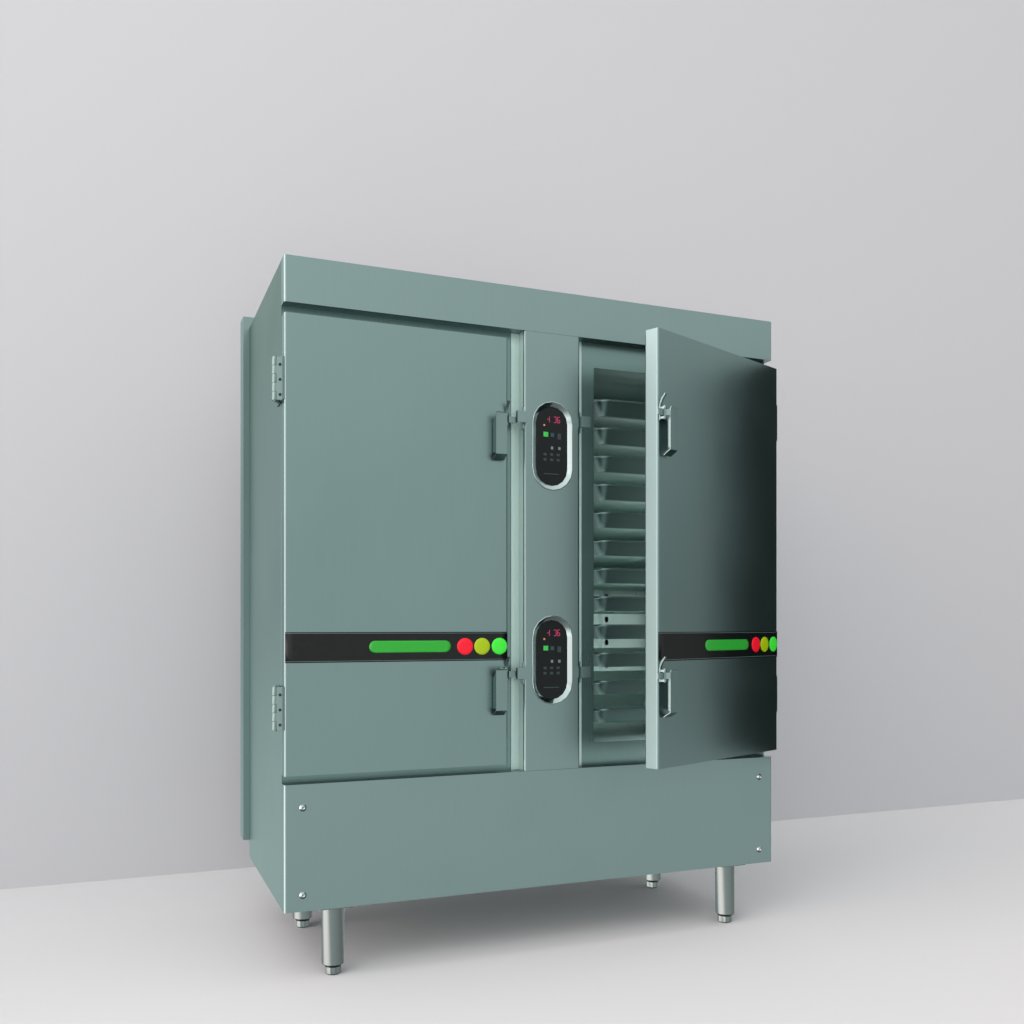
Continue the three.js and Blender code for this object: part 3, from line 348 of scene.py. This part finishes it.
def dress(node, material, edge=0.0006, steps=2, fold=31):
    """Gives a CAD node its finish, and rounds each edge that turns by more than fold degrees, as a
    bend or a deburred cut is."""
    obj = frame["nodes"][node]
    obj.data.materials.clear()
    obj.data.materials.append(material)
    obj.data.polygons.foreach_set("use_smooth", [True] * len(obj.data.polygons))
    weld = obj.modifiers.new("weld", "WELD")
    weld.merge_threshold = 0.00002
    bevel = obj.modifiers.new("edge", "BEVEL")
    bevel.width = edge
    bevel.segments = steps
    bevel.limit_method = "ANGLE"
    bevel.angle_limit = math.radians(fold)
    flatten = obj.modifiers.new("flatten", "WEIGHTED_NORMAL")
    flatten.weight = 100
    flatten.keep_sharp = False


sheet_dark, sheet_light, sheet_roughness = (114, 137, 135), (132, 154, 152), 0.36
body_steel = steel("body_satin_steel", sheet_dark, sheet_light, sheet_roughness)
side_steel = steel("side_satin_steel", (118, 144, 139), (134, 159, 154), sheet_roughness)
# Painted shade: the side sheet is painted darker towards its top, where less light falls on it.
vary(side_steel, along=(0, 0, 1), clear=0.95, full=1.45,
     dark=(76, 104, 94), light=(90, 118, 108), metallic=1.0)
column_steel = steel("column_satin_steel", sheet_dark, sheet_light, sheet_roughness)
# Painted light: the column's side walls, back from its front face, are painted paler, standing in for the
# light on them in the door's recess.
vary(column_steel, along=(0, 1, 0), clear=-0.195, full=-0.188,
     dark=(164, 188, 183), light=(180, 202, 197), metallic=0.4)
for node in ("base_frame", "header_fascia", "lower_front_panel", "rear_housing"):
    dress(node, body_steel)
dress("centre_column", column_steel)
dress("outer_wrap", side_steel)

# Lower front panel screws: four domed stainless screws, each on a thin plain washer, that hold the
# access panel to the body near its corners.
panel_screw_inset = 0.040
panel_screw_rows = (0.035, 0.222)
panel_screw_radius, panel_screw_rise = 0.0062, 0.0042
face_gap = 0.0001
screw_steel = steel("screw_steel", (150, 166, 164), (178, 192, 190), 0.24,
                    hairline=(900, 900, 900), marks=0.0)


def dome_screw(bm, centre, outward, radius, rise, washer=1.25):
    """A domed head with a hexagon socket, on a washer, standing out of a face."""
    turn = outward.to_track_quat("Z", "Y").to_matrix().to_4x4()
    base = Matrix.Translation(centre) @ turn
    socket_radius, socket_floor = 0.38 * radius, 0.45 * rise
    profile = [(washer * radius, 0), (washer * radius, 0.18 * rise), (radius, 0.2 * rise),
               (0.96 * radius, 0.5 * rise), (0.78 * radius, 0.82 * rise), (0.5 * radius, rise),
               (0.42 * radius, 0.97 * rise), (socket_radius, socket_floor), (0.0, socket_floor)]
    sides = 24
    sector = math.pi / 3
    rings = []
    for r, h in profile:
        if r == 0:
            rings.append([bm.verts.new(base @ Vector((0, 0, h)))])
            continue
        ring = []
        for k in range(sides):
            angle = 2 * math.pi * k / sides
            reach = r
            if r <= socket_radius:
                reach = r * math.cos(sector / 2) / math.cos(angle % sector - sector / 2)
            point = Vector((reach * math.cos(angle), reach * math.sin(angle), h))
            ring.append(bm.verts.new(base @ point))
        rings.append(ring)
    for low, high in zip(rings, rings[1:]):
        for k in range(sides):
            other = (k + 1) % sides
            if len(high) == 1:
                bm.faces.new((low[k], low[other], high[0]))
            else:
                bm.faces.new((low[k], low[other], high[other], high[k]))
    bm.faces.new(list(reversed(rings[0])))


low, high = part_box("lower_front_panel")
screws = bmesh.new()
for x in (low.x + panel_screw_inset, high.x - panel_screw_inset):
    for row in panel_screw_rows:
        centre = Vector((x, low.y - face_gap, low.z + row))
        dome_screw(screws, centre, Vector((0, -1, 0)), panel_screw_radius, panel_screw_rise)
panel_screws = new_mesh("lower_panel_screws", screws)
panel_screws.data.materials.append(screw_steel)
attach(panel_screws, "cabinet")

# Door skins: each is one satin sheet folded into a tray with softly rounded edges. The left door is
# shut; the right one stands ajar on its outer hinges.
door_steel = steel("door_satin_steel", (110, 134, 132), (128, 152, 150), 0.38, hairline=(650, 650, 8))
for side in ("left", "right"):
    dress(f"{side}_door_skin", door_steel, edge=0.0012, steps=3)


def face_frame(across, out, place=(0, 0, 0)):
    """The frame of an upright face: across it, straight out of it, and up."""
    return Matrix(((across[0], out[0], 0, place[0]), (across[1], out[1], 0, place[1]),
                   (0, 0, 1, 0), (0, 0, 0, 1)))


# In the frame on its hinge axis, a door begins at door_start across and its face lies door_face out.
door_start, door_width, door_face = 0.0155, 0.510, 0.021
joints = {joint["name"]: joint for joint in frame["joints"]}
ajar = -math.radians(joints["right_door_hinge"]["range_deg"][0])
door_frames = {
    "left": face_frame((1, 0), (0, -1), joints["left_door_hinge"]["pos_m"]),
    "right": face_frame((-math.cos(ajar), -math.sin(ajar)), (math.sin(ajar), -math.cos(ajar)),
                        joints["right_door_hinge"]["pos_m"]),
}

# Door strips: a black gloss film glued across each door, with a thin grey line printed near each
# edge, and a green capsule and a red, a yellow and a green disc of domed resin stuck on it.
strip_low, strip_high = 0.6866, 0.7523
strip_inset = 0.0015
line_height = 0.0012
line_places = {"strip_lower_line": strip_low + 0.0022, "strip_upper_line": strip_high - 0.0034}
capsule_start, capsule_end = 0.183, 0.371
capsule_low, capsule_high = 0.7070, 0.7330
disc_places = {"red": 0.405, "yellow": 0.446, "green": 0.4885}
disc_up, disc_radius = 0.7193, 0.0192
strip_rise, line_rise, capsule_rise, disc_rise = 0.0004, 0.0005, 0.0012, 0.0016
capsule_crown, disc_crown = 0.0006, 0.0012
speck_size = 60.0


def film(name, color, roughness, speck=0.15, coat=0.12, specular=0.25):
    """Printed gloss film or resin: an even colour with a faint fine mottle and a clear skin."""
    material, tree, shader = new_material(name, color, roughness)
    speckle = place_group(tree, handling_group, Size=speck_size, Amount=speck)
    paler = tuple(c * 0.8 + 30 for c in color)
    mottle = mixed_color(tree, speckle.outputs["Mask"], color, paler)
    tree.links.new(mottle, shader.inputs["Base Color"])
    shader.inputs["Specular IOR Level"].default_value = specular
    shader.inputs["Coat Weight"].default_value = coat
    shader.inputs["Coat Roughness"].default_value = 0.08
    return material


def plate(bm, frame_matrix, outline, low_out, high_out, crown=0.0):
    """A flat or crowned plate with the given (across, up) outline, between two distances out."""
    centre = Vector((sum(a for a, _ in outline) / len(outline), 0,
                     sum(u for _, u in outline) / len(outline)))
    rings = []
    for shrink, out in ((1.0, low_out), (1.0, high_out - 0.3 * crown),
                        (0.93, high_out + 0.3 * crown), (0.6, high_out + 0.9 * crown)):
        ring = []
        for across, up in outline:
            flat = Vector((across, 0, up))
            point = centre + (flat - centre) * shrink
            ring.append(bm.verts.new(frame_matrix @ Vector((point.x, out, point.z))))
        rings.append(ring)
    count = len(outline)
    for first, second in zip(rings, rings[1:]):
        for k in range(count):
            bm.faces.new((first[k], first[(k + 1) % count], second[(k + 1) % count], second[k]))
    bm.faces.new(rings[0])
    bm.faces.new(rings[-1])


def rectangle(left, right, low, high):
    return [(left, low), (right, low), (right, high), (left, high)]


def capsule(left, right, low, high, steps=10):
    radius = (high - low) / 2
    middle = (high + low) / 2
    points = []
    for centre, start in ((right - radius, -math.pi / 2), (left + radius, math.pi / 2)):
        for k in range(steps + 1):
            angle = start + math.pi * k / steps
            points.append((centre + radius * math.cos(angle), middle + radius * math.sin(angle)))
    return points


def disc(across, up, radius, steps=28):
    angles = [2 * math.pi * k / steps for k in range(steps)]
    return [(across + radius * math.cos(angle), up + radius * math.sin(angle)) for angle in angles]


strip_film = film("strip_black_film", (8, 12, 12), 0.3, coat=0.05)
line_film = film("strip_line_film", (70, 86, 84), 0.35)
disc_resin = {
    "red": film("disc_red", (206, 12, 36), 0.25),
    "yellow": film("disc_yellow", (138, 162, 0), 0.25),
    "green": film("disc_green", (52, 196, 50), 0.25),
}
capsule_film = film("capsule_green", (34, 140, 40), 0.3)
for side, matrix in door_frames.items():
    def along(s):
        """Across the door from its left edge as seen from the front."""
        return door_start + s if side == "left" else door_start + door_width - s

    def put(name, outline, low_out, high_out, material, crown=0.0):
        bm = bmesh.new()
        plate(bm, matrix, outline, low_out, high_out, crown)
        obj = new_mesh(f"{side}_{name}", bm)
        obj.data.materials.append(material)
        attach(obj, f"{side}_door")

    face = door_face + face_gap
    film_face = face + strip_rise
    ends = sorted((along(strip_inset), along(door_width - strip_inset)))
    put("strip", rectangle(*ends, strip_low, strip_high), face, film_face, strip_film)
    for name, up in line_places.items():
        put(name, rectangle(*ends, up, up + line_height), film_face, face + line_rise, line_film)
    ends = sorted((along(capsule_start), along(capsule_end)))
    put("strip_capsule", capsule(*ends, capsule_low, capsule_high), film_face, face + capsule_rise,
        capsule_film, capsule_crown)
    for color, s in disc_places.items():
        put(f"strip_{color}_disc", disc(along(s), disc_up, disc_radius), film_face, face + disc_rise,
            disc_resin[color], disc_crown)

# Chamber liners, door liners and gaskets: the inner sheets are thinner plain stainless, darker than
# the outer sheets, with painted shade on the chamber's flange, and each door is sealed by a soft grey
# ring against the mouth's flange.
liner_steel = steel("liner_plain_steel", (96, 122, 119), (116, 142, 138), 0.3,
                    hairline=(260, 260, 5), marks=0.9, metallic=0.9)
inner_steel = steel("door_inner_steel", (86, 108, 106), (106, 130, 128), 0.3,
                    hairline=(260, 260, 5), marks=0.8)

# Painted light: the chamber is paler behind its flange, and palest on its back wall and high up at the
# back, standing in for the light that falls inside it.
vary(liner_steel, along=(0, 1, 0), clear=-0.1622, full=-0.1612,
     dark=(134, 160, 156), light=(154, 180, 175), metallic=0.6)
vary(liner_steel, along=(0, 1, 0), clear=0.33, full=0.38,
     dark=(186, 212, 207), light=(206, 230, 225), metallic=0.2)
vary(liner_steel, along=(0, 1, 1), clear=1.29, full=1.38,
     dark=(196, 222, 218), light=(212, 238, 234), metallic=0.1)
rubber, tree, shader = new_material("gasket_rubber", (58, 66, 65), 0.7)
bloom = place_group(tree, handling_group, Size=30.0, Amount=0.5)
rubber_tones = mixed_color(tree, bloom.outputs["Mask"], (52, 60, 59), (78, 86, 85))
tree.links.new(rubber_tones, shader.inputs["Base Color"])
for side in ("left", "right"):
    dress(f"{side}_chamber_liner", liner_steel)
    dress(f"{side}_door_liner", inner_steel)
    dress(f"{side}_door_gasket", rubber, edge=0.0004)

# Pan racks and pans: a rack's side is twelve runners of bent angle, spot-welded to two flat
# uprights, and each pan is pressed from one sheet with leaning walls, round corners and a
# turned-down rim.
rack_steel = steel("rack_steel", (130, 152, 150), (152, 174, 172), 0.32,
                   hairline=(300, 5, 300), marks=0.6, metallic=0.6)
pan_steel = steel("pan_pressed_steel", (96, 122, 119), (118, 144, 140), 0.4,
                  hairline=(6, 300, 300), marks=0.8, metallic=0.95)
# Painted shade and light: the pans' fronts keep the darker tones as painted shade, and their parts
# further in are painted paler, a painted light.
vary(pan_steel, along=(0, 1, 0), clear=-0.112, full=-0.1,
     dark=(190, 216, 211), light=(208, 232, 227), metallic=0.25)
for side in ("left", "right"):
    for flank in ("inner", "outer"):
        dress(f"{side}_rack_{flank}_side", rack_steel)
for number in range(1, 13):
    dress(f"pan_{number:02d}", pan_steel, edge=0.0005, fold=50)

# Hinges: cast stainless knuckle hinges with a pin through five knuckles. Three screws in the frame
# leaf's plate and three in the door leaf's web are domed heads painted dark, as painted shade.
frame_leaf_face = 0.6283
frame_leaf_inset = 0.030
frame_screw_places = (0.18, 0.50, 0.82)
frame_screw_radius, frame_screw_rise = 0.0036, 0.0012
web_across, web_out = 0.0082, 0.0104
web_outward = Vector((-0.37, 0.93, 0))
web_screw_places = (0.14, 0.47, 0.80)
web_screw_radius, web_screw_rise = 0.0032, 0.001
painted_shade_rim = 1.02
cast_steel = steel("hinge_cast_steel", (98, 120, 117), (120, 142, 139), 0.42,
                   hairline=(200, 200, 200), depth=0.6)
# The hinge screws' dark colour is painted shade, with a random mottle.
painted_recess_shade, tree, shader = new_material("screw_painted_shade", (40, 52, 50), 0.6, 0.6)
shade_mottle = place_group(tree, handling_group, Size=200.0, Amount=0.8)
painted_shade_tones = mixed_color(tree, shade_mottle.outputs["Mask"], (30, 42, 40), (66, 78, 76))
tree.links.new(painted_shade_tones, shader.inputs["Base Color"])


def hinge_screws(name, body, centres, outward, radius, rise):
    bm = bmesh.new()
    for centre in centres:
        dome_screw(bm, centre, outward, radius, rise, washer=painted_shade_rim)
    heads = new_mesh(name, bm)
    heads.data.materials.append(painted_recess_shade)
    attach(heads, body)


for side, outward in (("left", -1), ("right", 1)):
    door_frame = door_frames[side]
    for level in ("lower", "upper"):
        dress(f"{side}_{level}_hinge_door_leaf", cast_steel)
        dress(f"{side}_{level}_hinge_frame_leaf", cast_steel)
        low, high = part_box(f"{side}_{level}_hinge_frame_leaf")
        length = high.z - low.z
        on_frame = [Vector((outward * frame_leaf_face, high.y - frame_leaf_inset, low.z + length * share))
                    for share in frame_screw_places]
        hinge_screws(f"{side}_{level}_hinge_screws", "cabinet", on_frame, Vector((outward, 0, 0)),
                     frame_screw_radius, frame_screw_rise)
        on_door = [door_frame @ Vector((web_across, web_out, low.z + length * share))
                   for share in web_screw_places]
        hinge_screws(f"{side}_{level}_hinge_door_screws", f"{side}_door", on_door,
                     door_frame.to_3x3() @ web_outward, web_screw_radius, web_screw_rise)

# Control panels: black printed glass sunk in a polished capsule bezel, with a display, a lamp and
# rows of plain touch marks.
chrome = steel("bezel_polished_steel", (150, 168, 166), (178, 194, 192), 0.16,
               hairline=(200, 200, 200), depth=0.4, marks=0.3)
glass = film("control_black_glass", (4, 10, 12), 0.1, speck=0.1, coat=0.0, specular=0.22)
for level in ("lower", "upper"):
    dress(f"{level}_control_bezel", chrome, edge=0.0003)
    dress(f"{level}_control_glass", glass, edge=0.0003)


def glow(name, color, strength):
    """A print that gives off light, a little dimmer in small patches; on the key marks it is a painted
    glow.
    """
    material, tree, shader = new_material(name, color, 0.4)
    patchy = place_group(tree, handling_group, Size=300.0, Amount=0.3)
    dimmer = tuple(c * 0.6 for c in color)
    tint = mixed_color(tree, patchy.outputs["Mask"], color, dimmer)
    tree.links.new(tint, shader.inputs["Emission Color"])
    shader.inputs["Emission Strength"].default_value = strength
    return material


# The display and the lamps are lit; the key, pale and teal marks are printed marks with a painted glow.
prints = {
    "digit": glow("display_red", (150, 34, 72), 0.45),
    "ready": glow("lamp_green", (34, 140, 50), 0.45),
    "heat": glow("lamp_orange", (176, 112, 60), 0.4),
    "key": glow("key_blue_grey", (26, 40, 44), 0.12),
    "pale": glow("key_pale", (84, 96, 98), 0.3),
    "teal": glow("key_teal", (14, 50, 50), 0.2),
}
print_rise = 0.0001
digit_width, digit_height, bar_width = 0.0056, 0.0135, 0.0016
digit_up = 0.0634
front_frame = face_frame((1, 0), (0, -1))
for level in ("lower", "upper"):
    low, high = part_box(f"{level}_control_glass")
    middle = (low + high) / 2
    out = -low.y + face_gap
    groups = {kind: bmesh.new() for kind in prints}

    def mark(kind, across, up, wide, tall):
        """A printed mark on the glass, placed from the glass's middle."""
        x, z = middle.x + across, middle.z + up
        outline = rectangle(x - wide / 2, x + wide / 2, z - tall / 2, z + tall / 2)
        plate(groups[kind], front_frame, outline, out, out + print_rise)

    def digit(across, lit):
        """A seven-bar figure of the display, with the bars that are lit."""
        aside, quarter, half = digit_width / 2, digit_height / 4, digit_height / 2
        bars = {"a": (0, half, digit_width, bar_width), "g": (0, 0, digit_width, bar_width),
                "d": (0, -half, digit_width, bar_width), "f": (-aside, quarter, bar_width, half),
                "b": (aside, quarter, bar_width, half), "e": (-aside, -quarter, bar_width, half),
                "c": (aside, -quarter, bar_width, half)}
        for bar in lit:
            x, z, wide, tall = bars[bar]
            mark("digit", across + x, digit_up + z, wide, tall)

    for across, lit in ((-0.0085, "bcg"), (0.0088, "abcd"), (0.0180, "acdefg")):
        digit(across, lit)
    mark("heat", across=-0.019, up=0.049, wide=0.004, tall=0.004)
    mark("ready", across=-0.015, up=0.0276, wide=0.0122, tall=0.0112)
    mark("teal", across=0.002, up=0.0272, wide=0.009, tall=0.009)
    mark("key", across=0.020, up=0.0245, wide=0.009, tall=0.014)
    for across in (0.001, 0.020):
        mark("pale", across, up=-0.0037, wide=0.006, tall=0.0066)
    for up in (-0.0193, -0.0316):
        for across in (-0.017, 0.000, 0.017):
            mark("key", across, up, wide=0.008, tall=0.006)
    mark("key", across=0.0, up=-0.0653, wide=0.040, tall=0.0022)
    for kind, bm in groups.items():
        obj = new_mesh(f"{level}_control_{kind}_marks", bm)
        obj.data.materials.append(prints[kind])
        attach(obj, "cabinet")

# Latches: each has a cast base on the door's edge that holds a pin, and a cast lever on the pin,
# with a broad pull that stands off the door and a tongue towards the keeper on the column.
latch_steel = steel("latch_cast_steel", (106, 130, 127), (128, 150, 147), 0.3,
                    hairline=(260, 260, 260), depth=0.6)
for side in ("left", "right"):
    for level in ("lower", "upper"):
        dress(f"{side}_{level}_latch_base", latch_steel)
        dress(f"{side}_{level}_latch_lever", latch_steel, edge=0.0009)

# Legs and levelling feet: polished round tube under a square flange, with a fluted stainless foot
# on a threaded stem for levelling.
leg_steel = steel("leg_tube_steel", (93, 104, 102), (118, 130, 127), 0.24,
                  hairline=(60, 60, 900), marks=0.4)
for corner in ("front_left", "front_right", "rear_left", "rear_right"):
    dress(f"{corner}_leg", leg_steel, edge=0.0008)
    dress(f"{corner}_foot", leg_steel)

# Water tank and heating element: a welded tank under the chambers with two steam pipes, and a
# hairpin element of heat-darkened alloy tube on a round flange.
tank_steel = steel("tank_steel", (110, 126, 124), (140, 156, 154), 0.4, marks=0.8)
dress("water_tank", tank_steel)
element_alloy = steel("element_alloy", (60, 62, 60), (92, 90, 84), 0.5,
                      hairline=(90, 400, 400), marks=1.0)
dress("heating_element", element_alloy, edge=0.0003)
